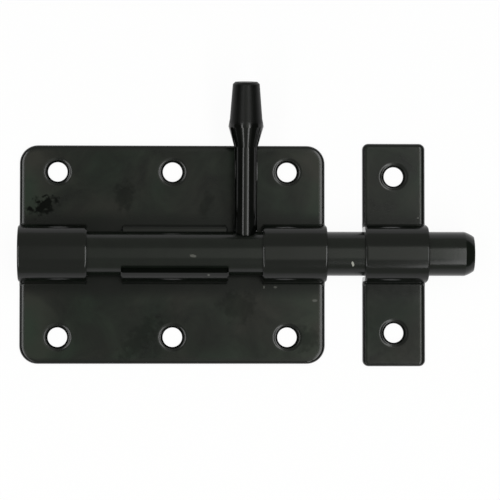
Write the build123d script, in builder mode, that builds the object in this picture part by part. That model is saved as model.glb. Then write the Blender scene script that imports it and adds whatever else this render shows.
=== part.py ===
"""Flat slide bolt: a pressed plate with two loops, a round sliding rod, a turned handle and a keeper.

Units are millimetres. The plate lies on its back in the XY plane, the rod runs along X and +Z points
away from the door. The origin is the centre of the plate's screw holes, on the back face.
"""

from build123d import *
import math
import os

# Sheet steel, the rod that runs in it and the screw holes through it
sheet = 2.0
bend_radius = 0.8
rod_diameter = 14.4
rod_clearance = 0.25
loop_rim = 0.6
edge_round = 0.8
hole_diameter = 6.4
hole_rim = 0.9

# Base plate
plate_length = 100.0
plate_width = 71.6
plate_corner = 6.0
plate_hole_pitch = 37.6
plate_hole_rows = 54.2
tail_loop_length = 22.2
front_loop_length = 20.8
notch_width = 11.1
lip_below_axis = 3.0
lip_tuck = 0.05
lip_round = 1.1
slot_width = 13.0

# Keeper
keeper_width = 20.6
keeper_length = 73.2
keeper_corner = 2.0
keeper_hole_rows = 51.4
keeper_gap = 12.4

# Rod ends: the front one tapers with a slight bulge
rod_reach = 48.0
rod_inset = 5.0
taper_length = 3.0
taper_drop = 1.5
taper_bulge = 0.15
tail_chamfer = 0.8

# Handle, measured along its own axis outwards from the rod
shank_diameter = 7.6
shank_length = 27.6
cone_length = 6.6
ridge_diameter = 11.4
ridge_length = 2.5
grip_diameter = 10.5
grip_length = 11.9
tip_diameter = 8.6
tip_chamfer = 0.7
handle_seat_gap = 0.05
lip_clearance = 0.3

# Places worked out from the sizes above
rod_radius = rod_diameter / 2
loop_inner = rod_radius + rod_clearance
loop_outer = loop_inner + sheet
axis_height = sheet + rod_clearance + rod_radius
plate_end = plate_length / 2
tail_loop_end = tail_loop_length - plate_end
front_loop_start = plate_end - front_loop_length
lip_start = tail_loop_end + notch_width
lip_length = front_loop_start - notch_width - lip_start
lip_top = axis_height - lip_below_axis
lip_inner = rod_radius - lip_tuck
lip_outer = lip_inner + sheet
curl_angle = math.degrees(math.acos(slot_width / 2 / loop_outer))
bend_top = sheet + bend_radius
loop_foot = loop_outer + bend_radius
lip_foot = lip_outer + bend_radius
handle_x = front_loop_start - notch_width / 2
keeper_start = plate_end + keeper_gap
rod_start = rod_inset - plate_end
rod_end = plate_end + rod_reach

# The handle is lifted just far enough for its shank to pass over the inner edge of the low lip
lip_edge_reach = math.hypot(lip_inner, lip_below_axis)
lift_from_edge = math.asin((shank_diameter / 2 + lip_clearance) / lip_edge_reach)
handle_lift = lift_from_edge - math.atan2(lip_below_axis, lip_inner)


def pressed_loop(start, length):
    """Arch that carries the rod: two legs bent up out of the sheet and a half round over them."""
    with BuildPart() as loop:
        with BuildSketch(Plane.YZ.offset(start)):
            with BuildLine():
                RadiusArc((loop_foot, 0), (loop_inner, bend_top), bend_top)
                Line((loop_inner, bend_top), (loop_inner, axis_height))
                CenterArc((0, axis_height), loop_inner, 0, 180)
                Line((-loop_inner, axis_height), (-loop_inner, bend_top))
                RadiusArc((-loop_inner, bend_top), (-loop_foot, 0), bend_top)
                Line((-loop_foot, 0), (-loop_foot, sheet))
                RadiusArc((-loop_foot, sheet), (-loop_outer, bend_top), -bend_radius)
                Line((-loop_outer, bend_top), (-loop_outer, axis_height))
                CenterArc((0, axis_height), loop_outer, 0, 180)
                Line((loop_outer, axis_height), (loop_outer, bend_top))
                RadiusArc((loop_outer, bend_top), (loop_foot, sheet), -bend_radius)
                Line((loop_foot, sheet), (loop_foot, 0))
            make_face()
        extrude(amount=length)
        crown_edges = loop.edges().filter_by(GeomType.CIRCLE).group_by(SortBy.RADIUS)[-1]
        chamfer(crown_edges, loop_rim)
    return loop.part


def outline_edges(builder):
    """Top edges of the flat sheet's outline, without its holes and the windows below the rod."""
    top_edges = builder.edges().group_by(Axis.Z)[-1].filter_by(lambda edge: not edge.is_closed)
    return top_edges.filter_by(lambda edge: abs(edge.center().Y) > loop_foot + edge_round)


def hole_rims(builder):
    """Top edges of the screw holes."""
    return builder.edges().group_by(Axis.Z)[-1].filter_by(lambda edge: edge.is_closed)


os.makedirs("parts", exist_ok=True)

# Low lip: a flap folded up on the handle's side of the rod, tucked just under the rod's widest line
with BuildPart() as low_lip:
    with BuildSketch(Plane.YZ.offset(lip_start)):
        with BuildLine():
            Line((lip_foot, 0), (lip_foot, sheet))
            RadiusArc((lip_foot, sheet), (lip_outer, bend_top), bend_radius)
            Line((lip_outer, bend_top), (lip_outer, lip_top))
            Line((lip_outer, lip_top), (lip_inner, lip_top))
            Line((lip_inner, lip_top), (lip_inner, bend_top))
            RadiusArc((lip_inner, bend_top), (lip_foot, 0), -bend_top)
        make_face()
    extrude(amount=lip_length)
    outer_edges = low_lip.faces().filter_by(Axis.Y).sort_by(Axis.Y)[1].edges().sort_by(Axis.Z)
    fillet(outer_edges[1:], lip_round)

# Curled lip: the other wall of the slot, which follows the round of the loops up over the rod
with BuildPart() as curled_lip:
    with BuildSketch(Plane.YZ.offset(lip_start)):
        with BuildLine():
            RadiusArc((-loop_inner, bend_top), (-loop_foot, 0), bend_top)
            Line((-loop_foot, 0), (-loop_foot, sheet))
            RadiusArc((-loop_foot, sheet), (-loop_outer, bend_top), -bend_radius)
            Line((-loop_outer, bend_top), (-loop_outer, axis_height))
            outside = CenterArc((0, axis_height), loop_outer, 180, -curl_angle)
            inside = CenterArc((0, axis_height), loop_inner, 180, -curl_angle)
            Line(outside @ 1, inside @ 1)
            Line((-loop_inner, axis_height), (-loop_inner, bend_top))
        make_face()
    extrude(amount=lip_length)
    curl_edges = curled_lip.edges().filter_by(GeomType.CIRCLE).group_by(SortBy.RADIUS)[-1]
    chamfer(curl_edges, loop_rim)

# Base plate: a flat sheet with a loop flush with each end and two lips between the loops
# The windows below them stop just short of their rounded ends
tail_loop = pressed_loop(-plate_end, tail_loop_length)
front_loop = pressed_loop(front_loop_start, front_loop_length)
with BuildPart() as base_plate:
    with BuildSketch():
        RectangleRounded(plate_length, plate_width, plate_corner)
        with Locations((tail_loop_end - loop_rim - tail_loop_length / 2, 0)):
            Rectangle(tail_loop_length, 2 * loop_foot, mode=Mode.SUBTRACT)
        with Locations((lip_start + lip_length / 2, (lip_foot - loop_foot) / 2)):
            Rectangle(lip_length - 2 * lip_round, lip_foot + loop_foot, mode=Mode.SUBTRACT)
        with Locations((front_loop_start + loop_rim + front_loop_length / 2, 0)):
            Rectangle(front_loop_length, 2 * loop_foot, mode=Mode.SUBTRACT)
        with GridLocations(plate_hole_pitch, plate_hole_rows, 3, 2):
            Circle(hole_diameter / 2, mode=Mode.SUBTRACT)
    extrude(amount=sheet)
    fillet(outline_edges(base_plate), edge_round)
    chamfer(hole_rims(base_plate), hole_rim)
    add(tail_loop)
    add(front_loop)
    add(low_lip.part)
    add(curled_lip.part)

base_plate.part.label = "base_plate"
export_step(base_plate.part, "parts/base_plate.step")

# Keeper: a flat strip with the same loop across its middle
keeper_loop = pressed_loop(keeper_start, keeper_width)
with BuildPart() as keeper:
    with BuildSketch():
        with Locations((keeper_start + keeper_width / 2, 0)):
            RectangleRounded(keeper_width, keeper_length, keeper_corner)
            Rectangle(keeper_width, 2 * loop_foot, mode=Mode.SUBTRACT)
            with GridLocations(0, keeper_hole_rows, 1, 2):
                Circle(hole_diameter / 2, mode=Mode.SUBTRACT)
    extrude(amount=sheet)
    fillet(outline_edges(keeper), edge_round)
    chamfer(hole_rims(keeper), hole_rim)
    add(keeper_loop)

keeper.part.label = "keeper"
export_step(keeper.part, "parts/keeper.step")

# Rod: turned from round bar, chamfered at its tail and tapered at its front end
with BuildPart() as bolt_rod:
    with BuildSketch(Plane.XZ):
        with BuildLine():
            rod_top = axis_height + rod_radius
            Polyline(
                (rod_end, rod_top - taper_drop),
                (rod_end, axis_height),
                (rod_start, axis_height),
                (rod_start, rod_top - tail_chamfer),
                (rod_start + tail_chamfer, rod_top),
                (rod_end - taper_length, rod_top),
            )
            SagittaArc((rod_end - taper_length, rod_top), (rod_end, rod_top - taper_drop), taper_bulge)
        make_face()
    revolve(axis=Axis((0, 0, axis_height), (1, 0, 0)))

bolt_rod.part.label = "bolt_rod"
export_step(bolt_rod.part, "parts/bolt_rod.step")

# Handle: a turned pin that swells to a ridge and tapers to its tip, its foot hollowed to sit round the rod
handle_plane = Plane(
    origin=(handle_x, 0, axis_height),
    x_dir=(1, 0, 0),
    z_dir=(0, -math.sin(handle_lift), math.cos(handle_lift)),
)
cone_start = rod_radius + shank_length
ridge_start = cone_start + cone_length
grip_start = ridge_start + ridge_length
handle_end = grip_start + grip_length
with BuildPart() as handle:
    with BuildSketch(handle_plane):
        with BuildLine():
            Polyline(
                (0, 0),
                (shank_diameter / 2, 0),
                (shank_diameter / 2, cone_start),
                (ridge_diameter / 2, ridge_start),
                (grip_diameter / 2, grip_start),
                (tip_diameter / 2, handle_end),
                (0, handle_end),
                close=True,
            )
        make_face()
    revolve(axis=Axis(handle_plane.origin, handle_plane.y_dir))
    tip_edge = handle.edges().filter_by(GeomType.CIRCLE).sort_by(Axis.Y)[-1]
    chamfer(tip_edge, tip_chamfer)
    with BuildSketch(Plane.YZ.offset(handle_x)):
        with Locations((0, axis_height)):
            Circle(rod_radius + handle_seat_gap)
    extrude(amount=shank_diameter, both=True, mode=Mode.SUBTRACT)

handle.part.label = "handle"
export_step(handle.part, "parts/handle.step")

print(f"Rod axis {axis_height:.3f} above the back, handle at x {handle_x:.3f}")
print(f"Handle lifted {math.degrees(handle_lift):.3f} degrees")
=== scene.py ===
import bpy
import math
import mathutils
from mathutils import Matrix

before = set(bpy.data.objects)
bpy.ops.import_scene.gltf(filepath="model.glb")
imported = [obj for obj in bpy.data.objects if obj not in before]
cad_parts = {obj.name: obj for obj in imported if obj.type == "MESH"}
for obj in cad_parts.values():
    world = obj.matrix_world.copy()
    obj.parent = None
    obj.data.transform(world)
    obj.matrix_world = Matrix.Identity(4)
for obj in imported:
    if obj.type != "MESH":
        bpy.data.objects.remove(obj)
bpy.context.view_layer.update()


# Base plate: one blank of 2 mm mild steel with two loops pressed up over the bolt and two lips turned up
# between them, then dipped in black lacquer and stoved, so that even its cut edges and holes are coated.
def linear_colour(hex_code):
    channels = [int(hex_code[i:i + 2], 16) / 255 for i in (1, 3, 5)]
    return [c / 12.92 if c <= 0.04045 else ((c + 0.055) / 1.055) ** 2.4 for c in channels] + [1.0]


def add_node(tree, kind, settings={}, links={}):
    node = tree.nodes.new(kind)
    for name, value in settings.items():
        if isinstance(name, int) or name in node.inputs:
            node.inputs[name].default_value = value
        else:
            setattr(node, name, value)
    for name, source in links.items():
        tree.links.new(source, node.inputs[name])
    return node


def waves_per_metre(size_mm):
    return 1000 / size_mm


def bare_material(name):
    material = bpy.data.materials.new(name)
    material.use_nodes = True
    material.node_tree.nodes.clear()
    return material


# Stoved black lacquer on pressed sheet: a thin half-gloss film over a slightly wavy blank. A greenish haze
# of dust lies on the flats, thickest at the two ends. Fingers have wiped it off in patches, it is rubbed
# off along the edges, which droop from the punch, and the loops are clean. Beside the loops the dust is
# thinned so that the black film shows there, which paints the shade at the loops' feet.
# The film's IOR is below a lacquer's usual 1.5, because a coat this thin and dull mirrors less.
def stoved_lacquer_sheet(name, middle, half_size, corner, edge_roll, holes, bent_ends, wiped_patches, specks):
    material = bare_material(name)
    tree = material.node_tree
    place = add_node(tree, "ShaderNodeTexCoord")
    axes = add_node(tree, "ShaderNodeSeparateXYZ", {}, {"Vector": place.outputs["Object"]})
    on_sheet = add_node(tree, "ShaderNodeCombineXYZ", {},
                        {"X": axes.outputs["X"], "Y": axes.outputs["Y"]})
    cloud = add_node(tree, "ShaderNodeTexNoise",
                     {"Scale": waves_per_metre(14), "Detail": 4.0, "Roughness": 0.6, "Distortion": 0.8},
                     {"Vector": place.outputs["Object"]})
    speckle = add_node(tree, "ShaderNodeTexNoise",
                       {"Scale": waves_per_metre(2.2), "Detail": 3.0, "Roughness": 0.6},
                       {"Vector": place.outputs["Object"]})

    # Flat sheet, below the middle of the bends at the loops' feet
    flat_top = 0.0021
    bend_middle = 0.0034
    bend_top = 0.0038
    flat = add_node(tree, "ShaderNodeMapRange",
                    {"From Min": flat_top, "From Max": bend_middle, "To Min": 1.0, "To Max": 0.0},
                    {"Value": axes.outputs["Z"]})

    # Outline: how far a point lies past the centre of its rounded corner, and the droop towards the edge
    roll_width, roll_depth = edge_roll
    inner_corner = [half_size[0] - corner, half_size[1] - corner, 0.0]
    from_centre = add_node(tree, "ShaderNodeVectorMath", {"operation": "SUBTRACT", 1: middle},
                           {0: on_sheet.outputs["Vector"]})
    one_quarter = add_node(tree, "ShaderNodeVectorMath", {"operation": "ABSOLUTE"},
                           {0: from_centre.outputs["Vector"]})
    quarter_axes = add_node(tree, "ShaderNodeSeparateXYZ", {}, {"Vector": one_quarter.outputs["Vector"]})
    past_corner = add_node(tree, "ShaderNodeVectorMath", {"operation": "SUBTRACT", 1: inner_corner},
                           {0: one_quarter.outputs["Vector"]})
    past_axes = add_node(tree, "ShaderNodeSeparateXYZ", {}, {"Vector": past_corner.outputs["Vector"]})
    past_most = add_node(tree, "ShaderNodeMath", {"operation": "MAXIMUM"},
                         {0: past_axes.outputs["X"], 1: past_axes.outputs["Y"]})
    past_straight = add_node(tree, "ShaderNodeMath", {"operation": "MINIMUM", 1: 0.0},
                             {0: past_most.outputs["Value"]})
    past_outside = add_node(tree, "ShaderNodeVectorMath", {"operation": "MAXIMUM"},
                            {0: past_corner.outputs["Vector"]})
    past_round = add_node(tree, "ShaderNodeVectorMath", {"operation": "LENGTH"},
                          {0: past_outside.outputs["Vector"]})
    past_both = add_node(tree, "ShaderNodeMath", {"operation": "ADD"},
                         {0: past_round.outputs["Value"], 1: past_straight.outputs["Value"]})
    near_outline = add_node(tree, "ShaderNodeMapRange", {"From Min": corner - roll_width, "From Max": corner},
                            {"Value": past_both.outputs["Value"]})
    droop = add_node(tree, "ShaderNodeMath", {"operation": "POWER", 1: 2.0},
                     {0: near_outline.outputs["Result"]})
    droop_on_flat = add_node(tree, "ShaderNodeMath", {"operation": "MULTIPLY"},
                             {0: droop.outputs["Value"], 1: flat.outputs["Result"]})

    # Screw holes: a fuller rim than the plain chamfer, and the same droop towards it
    rim_inside = 0.0038
    rim_outside = 0.0041
    rim_fill = 0.0003
    hole_droop_start = 0.0050
    hole_droop_depth = 0.000135
    hole_reach = None
    for hole in holes:
        to_hole = add_node(tree, "ShaderNodeVectorMath", {"operation": "DISTANCE", 1: (*hole, 0.0)},
                           {0: on_sheet.outputs["Vector"]})
        hole_reach = to_hole if hole_reach is None else add_node(
            tree, "ShaderNodeMath", {"operation": "MINIMUM"},
            {0: hole_reach.outputs["Value"], 1: to_hole.outputs["Value"]})
    hole_edge = add_node(tree, "ShaderNodeMapRange",
                         {"From Min": rim_inside, "From Max": rim_outside, "To Min": rim_fill, "To Max": 0.0},
                         {"Value": hole_reach.outputs["Value"]})
    near_hole = add_node(tree, "ShaderNodeMapRange", {"From Min": hole_droop_start, "From Max": rim_outside},
                         {"Value": hole_reach.outputs["Value"]})
    hole_droop = add_node(tree, "ShaderNodeMath", {"operation": "POWER", 1: 2.0},
                          {0: near_hole.outputs["Result"]})
    hole_form = add_node(tree, "ShaderNodeMath", {"operation": "MULTIPLY_ADD", 1: -hole_droop_depth},
                         {0: hole_droop.outputs["Value"], 2: hole_edge.outputs["Result"]})

    # Ends of the loops and lips: the same fuller rim
    loop_rim_width = 0.0006
    loop_rim_fill = 0.00071
    loop_rim_curve = 0.00012
    end_reach = None
    for end in bent_ends:
        past_end = add_node(tree, "ShaderNodeMath", {"operation": "SUBTRACT", 1: end},
                            {0: axes.outputs["X"]})
        to_end = add_node(tree, "ShaderNodeMath", {"operation": "ABSOLUTE"}, {0: past_end.outputs["Value"]})
        end_reach = to_end if end_reach is None else add_node(
            tree, "ShaderNodeMath", {"operation": "MINIMUM"},
            {0: end_reach.outputs["Value"], 1: to_end.outputs["Value"]})
    near_rim = add_node(tree, "ShaderNodeMapRange",
                        {"From Min": 0.0, "From Max": loop_rim_width, "To Min": 1.0, "To Max": 0.0},
                        {"Value": end_reach.outputs["Value"]})
    rim_slope = add_node(tree, "ShaderNodeMath",
                         {"operation": "MULTIPLY_ADD", 1: -loop_rim_curve, 2: loop_rim_fill},
                         {0: near_rim.outputs["Result"]})
    loop_edge = add_node(tree, "ShaderNodeMath", {"operation": "MULTIPLY"},
                         {0: near_rim.outputs["Result"], 1: rim_slope.outputs["Value"]})
    raised = add_node(tree, "ShaderNodeMapRange", {"From Min": bend_middle, "From Max": bend_top},
                      {"Value": axes.outputs["Z"]})
    loop_edge_raised = add_node(tree, "ShaderNodeMath", {"operation": "MULTIPLY"},
                                {0: loop_edge.outputs["Value"], 1: raised.outputs["Result"]})

    # Dust stays on the flats, but not on the rubbed edges
    rubbed_share = 0.6
    near_edge = add_node(tree, "ShaderNodeMath", {"operation": "MAXIMUM"},
                         {0: near_outline.outputs["Result"], 1: near_hole.outputs["Result"]})
    rubbed = add_node(tree, "ShaderNodeMapRange",
                      {"From Min": 0.0, "From Max": rubbed_share, "To Min": 1.0, "To Max": 0.0},
                      {"Value": near_edge.outputs["Value"]})
    hazy = add_node(tree, "ShaderNodeMath", {"operation": "MULTIPLY"},
                    {0: flat.outputs["Result"], 1: rubbed.outputs["Result"]})

    # Wiped patches: ovals with ragged outlines, clear in the core and fading to the rim
    patch_core = 0.5
    patch_rim = 1.3
    wiped = None
    for (x, y), (half_length, half_width), lean, raggedness, strength in wiped_patches:
        from_middle = add_node(tree, "ShaderNodeMapping",
                               {"vector_type": "TEXTURE", "Location": (x, y, 0.0),
                                "Rotation": (0.0, 0.0, math.radians(lean)),
                                "Scale": (half_length, half_width, 1.0)},
                               {"Vector": place.outputs["Object"]})
        reach = add_node(tree, "ShaderNodeVectorMath", {"operation": "LENGTH"},
                         {0: from_middle.outputs["Vector"]})
        ragged_reach = add_node(tree, "ShaderNodeMath", {"operation": "MULTIPLY_ADD", 1: 2 * raggedness},
                                {0: speckle.outputs["Fac"], 2: reach.outputs["Value"]})
        patch = add_node(tree, "ShaderNodeMapRange",
                         {"interpolation_type": "SMOOTHSTEP", "From Min": raggedness + patch_core,
                          "From Max": raggedness + patch_rim, "To Min": strength, "To Max": 0.0},
                         {"Value": ragged_reach.outputs["Value"]})
        wiped = patch.outputs["Result"] if wiped is None else add_node(
            tree, "ShaderNodeMath", {"operation": "MAXIMUM"},
            {0: wiped, 1: patch.outputs["Result"]}).outputs["Value"]
    unwiped = add_node(tree, "ShaderNodeMath", {"operation": "SUBTRACT", 0: 1.0}, {1: wiped})
    left_on = add_node(tree, "ShaderNodeMath", {"operation": "MULTIPLY"},
                       {0: hazy.outputs["Value"], 1: unwiped.outputs["Value"]})

    # How thick the dust lies: in clouds, with more of it near the two ends. Less of it beside the loops is
    # painted shade at their feet.
    end_start = 0.76 * half_size[0]
    end_full = 0.96 * half_size[0]
    end_dust = 0.80
    loop_foot = 0.0105
    loop_shade_end = 0.0155
    dust_share_in_loop_shade = 0.15
    settled = add_node(tree, "ShaderNodeMapRange",
                       {"From Min": 0.30, "From Max": 0.72, "To Min": 0.05, "To Max": 0.85},
                       {"Value": cloud.outputs["Fac"]})
    near_end = add_node(tree, "ShaderNodeMapRange",
                        {"From Min": end_start, "From Max": end_full, "To Min": 0.0, "To Max": end_dust},
                        {"Value": quarter_axes.outputs["X"]})
    # Painted shade: the dust thins towards the loops' feet, so the flats darken beside the loops.
    painted_loop_shade = add_node(tree, "ShaderNodeMapRange",
                     {"interpolation_type": "SMOOTHSTEP", "From Min": loop_foot, "From Max": loop_shade_end,
                      "To Min": dust_share_in_loop_shade, "To Max": 1.0}, {"Value": quarter_axes.outputs["Y"]})
    dust_under_loop_shade = add_node(tree, "ShaderNodeMath", {"operation": "MULTIPLY"},
                        {0: left_on.outputs["Value"], 1: painted_loop_shade.outputs["Result"]})
    thick = add_node(tree, "ShaderNodeMath", {"operation": "ADD"},
                     {0: settled.outputs["Result"], 1: near_end.outputs["Result"]})
    dust_and_loop_shade = add_node(tree, "ShaderNodeMath", {"operation": "MULTIPLY"},
                    {0: thick.outputs["Value"], 1: dust_under_loop_shade.outputs["Value"]})

    # Colour: black film, greenish to brownish dust over it that thins beside the loops as painted shade, and
    # pale specks
    dust_kind = add_node(tree, "ShaderNodeTexNoise", {"Scale": waves_per_metre(20), "Detail": 2.0},
                         {"Vector": place.outputs["Object"]})
    dust_tone = add_node(tree, "ShaderNodeValToRGB", {}, {"Fac": dust_kind.outputs["Fac"]})
    dust_tone.color_ramp.elements[0].position = 0.38
    dust_tone.color_ramp.elements[0].color = linear_colour("#1f2820")
    dust_tone.color_ramp.elements[1].position = 0.64
    dust_tone.color_ramp.elements[1].color = linear_colour("#262622")
    film = add_node(tree, "ShaderNodeMix", {"data_type": "RGBA", 6: linear_colour("#060806")},
                    {0: dust_and_loop_shade.outputs["Value"], 7: dust_tone.outputs["Color"]})
    speck_core = 1.2
    speck_rim = 1.6
    specked = None
    for (x, y), (half_length, half_width) in specks:
        from_speck = add_node(tree, "ShaderNodeMapping",
                              {"vector_type": "TEXTURE", "Location": (x, y, 0.0),
                               "Scale": (half_length, half_width, 1.0)},
                              {"Vector": on_sheet.outputs["Vector"]})
        speck_reach = add_node(tree, "ShaderNodeVectorMath", {"operation": "LENGTH"},
                               {0: from_speck.outputs["Vector"]})
        ragged_speck = add_node(tree, "ShaderNodeMath", {"operation": "ADD"},
                                {0: speckle.outputs["Fac"], 1: speck_reach.outputs["Value"]})
        speck = add_node(tree, "ShaderNodeMapRange",
                         {"From Min": speck_core, "From Max": speck_rim, "To Min": 1.0, "To Max": 0.0},
                         {"Value": ragged_speck.outputs["Value"]})
        specked = speck.outputs["Result"] if specked is None else add_node(
            tree, "ShaderNodeMath", {"operation": "MAXIMUM"},
            {0: specked, 1: speck.outputs["Result"]}).outputs["Value"]
    tone = add_node(tree, "ShaderNodeMix", {"data_type": "RGBA", 7: linear_colour("#4c4d49")},
                    {0: specked, 6: film.outputs[2]})

    # Gloss: clean loops are the sharpest, dusty flats mirror less and stained patches least
    loop_roughness = 0.15
    clean_share = 0.52
    hazy_share = 0.31
    stain_loss = 0.22
    flat_sheen = add_node(tree, "ShaderNodeMapRange",
                          {"From Min": 0.3, "From Max": 0.7, "To Min": 0.24, "To Max": 0.17},
                          {"Value": cloud.outputs["Fac"]})
    sheen = add_node(tree, "ShaderNodeMix", {"data_type": "FLOAT", 2: loop_roughness},
                     {0: hazy.outputs["Value"], 3: flat_sheen.outputs["Result"]})
    hazed = add_node(tree, "ShaderNodeMapRange", {"To Min": clean_share, "To Max": hazy_share},
                     {"Value": hazy.outputs["Value"]})
    stained = add_node(tree, "ShaderNodeMath", {"operation": "MULTIPLY"},
                       {0: flat.outputs["Result"], 1: wiped})
    mirror_share = add_node(tree, "ShaderNodeMath", {"operation": "MULTIPLY_ADD", 1: -stain_loss},
                            {0: stained.outputs["Value"], 2: hazed.outputs["Result"]})

    # Surface: the rims and droops above in metres, then the blank's waves and the film's fine orange peel
    rims = add_node(tree, "ShaderNodeMath", {"operation": "ADD"},
                    {0: hole_form.outputs["Value"], 1: loop_edge_raised.outputs["Value"]})
    edge_form = add_node(tree, "ShaderNodeMath", {"operation": "MULTIPLY_ADD", 1: -roll_depth},
                         {0: droop_on_flat.outputs["Value"], 2: rims.outputs["Value"]})
    soft_edges = add_node(tree, "ShaderNodeBump", {"Strength": 1.0, "Distance": 1.0},
                          {"Height": edge_form.outputs["Value"]})
    blank_wave = add_node(tree, "ShaderNodeTexNoise",
                          {"Scale": waves_per_metre(24), "Detail": 1.0, "Roughness": 0.4},
                          {"Vector": place.outputs["Object"]})
    wavy = add_node(tree, "ShaderNodeBump", {"Strength": 0.6, "Distance": 0.00030},
                    {"Height": blank_wave.outputs["Fac"], "Normal": soft_edges.outputs["Normal"]})
    peel = add_node(tree, "ShaderNodeBump", {"Strength": 0.16, "Distance": 0.00004},
                    {"Height": speckle.outputs["Fac"], "Normal": wavy.outputs["Normal"]})
    coat = add_node(tree, "ShaderNodeBsdfPrincipled", {"IOR": 1.34, "Metallic": 0.0},
                    {"Base Color": tone.outputs[2], "Roughness": sheen.outputs[0],
                     "Specular IOR Level": mirror_share.outputs["Value"],
                     "Normal": peel.outputs["Normal"]})
    add_node(tree, "ShaderNodeOutputMaterial", {}, {"Surface": coat.outputs["BSDF"]})
    return material


# Each patch has its middle, half sizes, lean in degrees, raggedness and strength, each speck its middle and
# half sizes, and edge_roll is the droop's width and depth. The first patch is the dark smear by the corner.
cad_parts["base_plate"].material_slots[0].material = stoved_lacquer_sheet(
    "stoved_black_lacquer_on_plate",
    middle=(0.0, 0.0, 0.0), half_size=(0.0500, 0.0358), corner=0.006, edge_roll=(0.0022, 0.00034),
    holes=[(x, y) for x in (-0.0376, 0.0, 0.0376) for y in (-0.0271, 0.0271)],
    bent_ends=(-0.0500, -0.0278, -0.0167, 0.0181, 0.0292, 0.0500),
    wiped_patches=(
        ((-0.0421, 0.0160), (0.0044, 0.0025), 20, 2.20, 1.00),
        ((-0.0155, 0.0191), (0.0036, 0.0046), -10, 1.40, 0.40),
        ((0.0110, 0.0161), (0.0020, 0.0042), -20, 1.20, 0.35),
        ((-0.0110, -0.0275), (0.0036, 0.0095), -38, 1.40, 0.35),
        ((0.0217, -0.0170), (0.0060, 0.0046), 0, 1.40, 0.35),
        ((0.0440, -0.0275), (0.0042, 0.0036), 30, 1.20, 0.40),
    ),
    specks=(
        ((0.0300, -0.0107), (0.0003, 0.0005)),
        ((0.0337, -0.0107), (0.0005, 0.0003)),
        ((0.0116, -0.0072), (0.0005, 0.0003)),
        ((0.0467, -0.0151), (0.0009, 0.0005)),
    ))


# Bolt: a 14.4 mm bar of drawn mild steel, its nose eased for entry, lacquered with the rest. It slides in
# the loops, so its film is chipped through to the steel in two spots.

# Stoved black lacquer on drawn bar: a smooth half-gloss film with a faint greenish cloud in its black, so
# long soft lights run along the bar. The steel in the chips is a dull pale grey.
def stoved_lacquer_bar():
    material = bare_material("stoved_black_lacquer_on_drawn_bar")
    tree = material.node_tree
    place = add_node(tree, "ShaderNodeTexCoord")
    axes = add_node(tree, "ShaderNodeSeparateXYZ", {}, {"Vector": place.outputs["Object"]})
    cloud = add_node(tree, "ShaderNodeTexNoise",
                     {"Scale": waves_per_metre(8), "Detail": 4.0, "Roughness": 0.6},
                     {"Vector": place.outputs["Object"]})
    speckle = add_node(tree, "ShaderNodeTexNoise",
                       {"Scale": waves_per_metre(1.4), "Detail": 3.0, "Roughness": 0.6},
                       {"Vector": place.outputs["Object"]})

    # Chips: middle, half sizes, lean in degrees and how much of the steel shows
    chips = (
        ((0.0065, -0.0010, 0.0166), (0.0013, 0.0005, 0.0010), -12, 0.22),
        ((0.0582, -0.0036, 0.0157), (0.0004, 0.0011, 0.0012), 15, 1.0),
    )
    chip_core = 1.2
    chip_rim = 1.5
    chipped = None
    for middle, half_size, lean, strength in chips:
        from_middle = add_node(tree, "ShaderNodeMapping",
                               {"vector_type": "TEXTURE", "Location": middle,
                                "Rotation": (0.0, 0.0, math.radians(lean)), "Scale": half_size},
                               {"Vector": place.outputs["Object"]})
        reach = add_node(tree, "ShaderNodeVectorMath", {"operation": "LENGTH"},
                         {0: from_middle.outputs["Vector"]})
        ragged_reach = add_node(tree, "ShaderNodeMath", {"operation": "ADD"},
                                {0: reach.outputs["Value"], 1: speckle.outputs["Fac"]})
        chip = add_node(tree, "ShaderNodeMapRange",
                        {"From Min": chip_core, "From Max": chip_rim, "To Min": strength, "To Max": 0.0},
                        {"Value": ragged_reach.outputs["Value"]})
        chipped = chip.outputs["Result"] if chipped is None else add_node(
            tree, "ShaderNodeMath", {"operation": "MAXIMUM"},
            {0: chipped, 1: chip.outputs["Result"]}).outputs["Value"]
    tone = add_node(tree, "ShaderNodeValToRGB", {}, {"Fac": cloud.outputs["Fac"]})
    tone.color_ramp.elements[0].position = 0.34
    tone.color_ramp.elements[0].color = linear_colour("#080b08")
    tone.color_ramp.elements[1].position = 0.68
    tone.color_ramp.elements[1].color = linear_colour("#0e120e")
    skin = add_node(tree, "ShaderNodeMix", {"data_type": "RGBA", 7: linear_colour("#8c8c86")},
                    {0: chipped, 6: tone.outputs["Color"]})
    sheen = add_node(tree, "ShaderNodeMapRange",
                     {"From Min": 0.3, "From Max": 0.7, "To Min": 0.21, "To Max": 0.16},
                     {"Value": cloud.outputs["Fac"]})

    # Nose: the bar thins very slightly before its taper
    nose_start = 0.0870
    taper_start = 0.0950
    nose_drop = 0.00006
    near_nose = add_node(tree, "ShaderNodeMapRange", {"From Min": nose_start, "From Max": taper_start},
                         {"Value": axes.outputs["X"]})
    nose_curve = add_node(tree, "ShaderNodeMath", {"operation": "POWER", 1: 2.0},
                          {0: near_nose.outputs["Result"]})
    eased_nose = add_node(tree, "ShaderNodeBump", {"Strength": 1.0, "Distance": nose_drop, "invert": True},
                          {"Height": nose_curve.outputs["Value"]})
    peel = add_node(tree, "ShaderNodeBump", {"Strength": 0.14, "Distance": 0.00004},
                    {"Height": speckle.outputs["Fac"], "Normal": eased_nose.outputs["Normal"]})
    coat = add_node(tree, "ShaderNodeBsdfPrincipled", {"IOR": 1.34, "Metallic": 0.0},
                    {"Base Color": skin.outputs[2], "Roughness": sheen.outputs["Result"],
                     "Normal": peel.outputs["Normal"]})
    add_node(tree, "ShaderNodeOutputMaterial", {}, {"Surface": coat.outputs["BSDF"]})
    return material


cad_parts["bolt_rod"].material_slots[0].material = stoved_lacquer_bar()


# Handle: turned from steel bar, a thin shank that swells in a cone to a tapered grip, set into the bolt.
# It has a thicker, glossier coat of the same black, and its grip is dulled by use.

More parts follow.
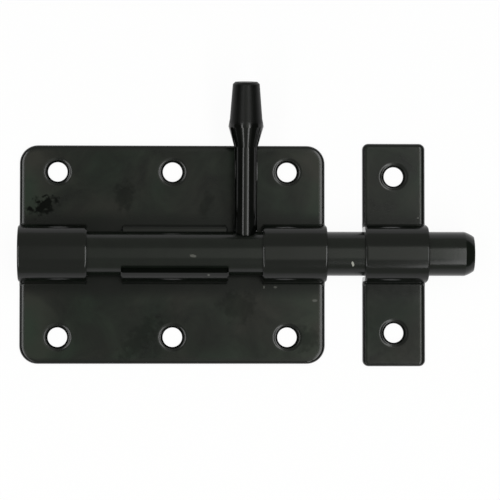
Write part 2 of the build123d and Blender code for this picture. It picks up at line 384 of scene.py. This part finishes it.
# Gloss black enamel on turned steel: a deep, smooth black with two sharp lines of light down the shank and
# a soft grey light on the dull grip.
def gloss_enamel():
    material = bare_material("gloss_black_enamel_on_turned_steel")
    tree = material.node_tree
    place = add_node(tree, "ShaderNodeTexCoord")
    axes = add_node(tree, "ShaderNodeSeparateXYZ", {}, {"Vector": place.outputs["Object"]})
    cloud = add_node(tree, "ShaderNodeTexNoise",
                     {"Scale": waves_per_metre(4), "Detail": 4.0, "Roughness": 0.6},
                     {"Vector": place.outputs["Object"]})
    tone = add_node(tree, "ShaderNodeValToRGB", {}, {"Fac": cloud.outputs["Fac"]})
    tone.color_ramp.elements[0].position = 0.35
    tone.color_ramp.elements[0].color = linear_colour("#040504")
    tone.color_ramp.elements[1].position = 0.7
    tone.color_ramp.elements[1].color = linear_colour("#080908")

    # From the ridge outwards the grip is worn dull
    ridge_start = 0.0405
    ridge_end = 0.0420
    sheen = add_node(tree, "ShaderNodeMapRange",
                     {"From Min": ridge_start, "From Max": ridge_end, "To Min": 0.09, "To Max": 0.42},
                     {"Value": axes.outputs["Y"]})
    mirror_share = add_node(tree, "ShaderNodeMapRange",
                            {"From Min": ridge_start, "From Max": ridge_end, "To Min": 0.50, "To Max": 0.30},
                            {"Value": axes.outputs["Y"]})
    eased_edge = add_node(tree, "ShaderNodeBevel", {"samples": 6, "Radius": 0.0005})
    peel = add_node(tree, "ShaderNodeBump", {"Strength": 0.08, "Distance": 0.00005},
                    {"Height": cloud.outputs["Fac"], "Normal": eased_edge.outputs["Normal"]})
    coat = add_node(tree, "ShaderNodeBsdfPrincipled", {"IOR": 1.34, "Metallic": 0.0},
                    {"Base Color": tone.outputs["Color"], "Roughness": sheen.outputs["Result"],
                     "Specular IOR Level": mirror_share.outputs["Result"],
                     "Normal": peel.outputs["Normal"]})
    add_node(tree, "ShaderNodeOutputMaterial", {}, {"Surface": coat.outputs["BSDF"]})
    return material


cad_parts["handle"].material_slots[0].material = gloss_enamel()


# Keeper: a strip of the same sheet with one loop pressed up, screwed to the frame in line with the bolt.
# It goes through the same dip and stove as the plate.
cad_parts["keeper"].material_slots[0].material = stoved_lacquer_sheet(
    "stoved_black_lacquer_on_keeper",
    middle=(0.0727, 0.0, 0.0), half_size=(0.0103, 0.0366), corner=0.002, edge_roll=(0.0018, 0.00042),
    holes=[(0.0727, -0.0257), (0.0727, 0.0257)],
    bent_ends=(0.0624, 0.0830),
    wiped_patches=(((0.0730, -0.0220), (0.0110, 0.0130), 10, 0.80, 0.25),),
    specks=(((0.0807, 0.0121), (0.0003, 0.0003)),))


# Floor: a plain white table that the fittings lie on, with a faint soft shadow under their edges. Far out
# its sides slope up, so that a low view shows no horizon.
table_half = 3.0
table_top = -0.0001
slope_half = 3.5
slope_top = 0.20
corner_signs = ((-1, -1), (1, -1), (1, 1), (-1, 1))
table_corners = [(table_half * x, table_half * y, table_top) for x, y in corner_signs]
slope_corners = [(slope_half * x, slope_half * y, slope_top) for x, y in corner_signs]
slopes = [(0, 4, 5, 1), (1, 5, 6, 2), (2, 6, 7, 3), (3, 7, 4, 0)]
floor_mesh = bpy.data.meshes.new("floor")
floor_mesh.from_pydata(table_corners + slope_corners, [], [(0, 1, 2, 3)] + slopes)
floor = bpy.data.objects.new("floor", floor_mesh)
bpy.context.scene.collection.objects.link(floor)

# Matt white table paint: an even white to the eye and in reflections, with a trace of shade left in it.
table_paint = bare_material("matt_white_table_paint")
table_tree = table_paint.node_tree
table_evenness = 0.94
table_ray = add_node(table_tree, "ShaderNodeLightPath")
table_mirrored = add_node(table_tree, "ShaderNodeMath", {"operation": "MAXIMUM"},
                          {0: table_ray.outputs["Is Glossy Ray"],
                           1: table_ray.outputs["Is Transmission Ray"]})
table_seen = add_node(table_tree, "ShaderNodeMath", {"operation": "MAXIMUM"},
                      {0: table_ray.outputs["Is Camera Ray"], 1: table_mirrored.outputs["Value"]})
table_white = add_node(table_tree, "ShaderNodeBsdfDiffuse", {"Color": linear_colour("#e6e6e6")})
table_glow = add_node(table_tree, "ShaderNodeEmission", {"Color": linear_colour("#ffffff"), "Strength": 1.0})
table_bright = add_node(table_tree, "ShaderNodeMixShader", {"Fac": table_evenness},
                        {1: table_white.outputs["BSDF"], 2: table_glow.outputs["Emission"]})
table_surface = add_node(table_tree, "ShaderNodeMixShader", {},
                         {"Fac": table_seen.outputs["Value"], 1: table_white.outputs["BSDF"],
                          2: table_bright.outputs["Shader"]})
add_node(table_tree, "ShaderNodeOutputMaterial", {}, {"Surface": table_surface.outputs["Shader"]})
floor_mesh.materials.append(table_paint)


# Light: a tent that is open to a dark room on the left and right, with a pale panel overhead that starts
# above the plate and reaches to the right, and two strips left and right of the camera. Places in the tent
# are directions, from -1 to 1 on each axis.
cloth_light = 0.62
dark_room_light = 0.10
panel_light = 0.98
world = bpy.data.worlds.new("tent_with_open_sides")
bpy.context.scene.world = world
world.use_nodes = True
world_tree = world.node_tree
world_tree.nodes.clear()
tent_place = add_node(world_tree, "ShaderNodeTexCoord")
tent_axes = add_node(world_tree, "ShaderNodeSeparateXYZ", {}, {"Vector": tent_place.outputs["Generated"]})
tent_across = add_node(world_tree, "ShaderNodeMath", {"operation": "ABSOLUTE"}, {0: tent_axes.outputs["X"]})
tent_along = add_node(world_tree, "ShaderNodeMath", {"operation": "ABSOLUTE"}, {0: tent_axes.outputs["Y"]})
tent_cloth = add_node(world_tree, "ShaderNodeMapRange",
                      {"interpolation_type": "SMOOTHSTEP", "From Min": 0.38, "From Max": 0.66,
                       "To Min": cloth_light, "To Max": dark_room_light},
                      {"Value": tent_across.outputs["Value"]})
panel_length = add_node(world_tree, "ShaderNodeMapRange",
                        {"interpolation_type": "SMOOTHSTEP", "From Min": 0.36, "From Max": 0.50,
                         "To Min": 1.0, "To Max": 0.0}, {"Value": tent_along.outputs["Value"]})
panel_start = add_node(world_tree, "ShaderNodeMapRange",
                       {"interpolation_type": "SMOOTHSTEP", "From Min": -0.06, "From Max": 0.09,
                        "To Min": 0.0, "To Max": panel_light}, {"Value": tent_axes.outputs["X"]})
panel_end = add_node(world_tree, "ShaderNodeMapRange",
                     {"interpolation_type": "SMOOTHSTEP", "From Min": 0.24, "From Max": 0.36,
                      "To Min": 1.0, "To Max": 0.0}, {"Value": tent_across.outputs["Value"]})
panel_cut = add_node(world_tree, "ShaderNodeMath", {"operation": "MULTIPLY"},
                     {0: panel_length.outputs["Result"], 1: panel_end.outputs["Result"]})
tent_level = add_node(world_tree, "ShaderNodeMath", {"operation": "MULTIPLY_ADD"},
                      {0: panel_cut.outputs["Value"], 1: panel_start.outputs["Result"],
                       2: tent_cloth.outputs["Result"]})
tent = add_node(world_tree, "ShaderNodeBackground", {"Color": linear_colour("#fbfff5")},
                {"Strength": tent_level.outputs["Value"]})
add_node(world_tree, "ShaderNodeOutputWorld", {}, {"Surface": tent.outputs["Background"]})

strip_width = 0.12
strip_length = 1.25
strip_along = -0.325
strip_height = 0.60
for strip_across, strip_power in ((-0.285, 2.75), (0.255, 3.10)):
    strip_lamp = bpy.data.lights.new("strip_light", "AREA")
    strip_lamp.shape = "RECTANGLE"
    strip_lamp.size = strip_width
    strip_lamp.size_y = strip_length
    strip_lamp.energy = strip_power
    strip = bpy.data.objects.new("strip_light", strip_lamp)
    bpy.context.scene.collection.objects.link(strip)
    strip.location = (strip_across, strip_along, strip_height)


# Camera: almost straight above, a little to the left of the picture's middle and to the near side, with
# a long lens.
picture_width = 0.1640
sensor_width = 36
look_at = mathutils.Vector((0.02543, 0.0015, 0.0020))
camera_place = mathutils.Vector((-0.0052, -0.0340, 0.8520))
sight = look_at - camera_place
tilt_forward = math.atan2(sight.y, math.hypot(sight.x, sight.z))
tilt_sideways = -math.atan2(sight.x, -sight.z)
camera_data = bpy.data.cameras.new("camera")
camera_data.sensor_width = sensor_width
camera_data.lens = sensor_width * sight.length / picture_width
camera_data.clip_start = 0.01
camera_data.clip_end = 20
camera = bpy.data.objects.new("camera", camera_data)
bpy.context.scene.collection.objects.link(camera)
camera.location = camera_place
camera.rotation_euler = (tilt_forward, tilt_sideways, 0)
bpy.context.scene.camera = camera

bpy.context.scene.view_settings.view_transform = "Standard"
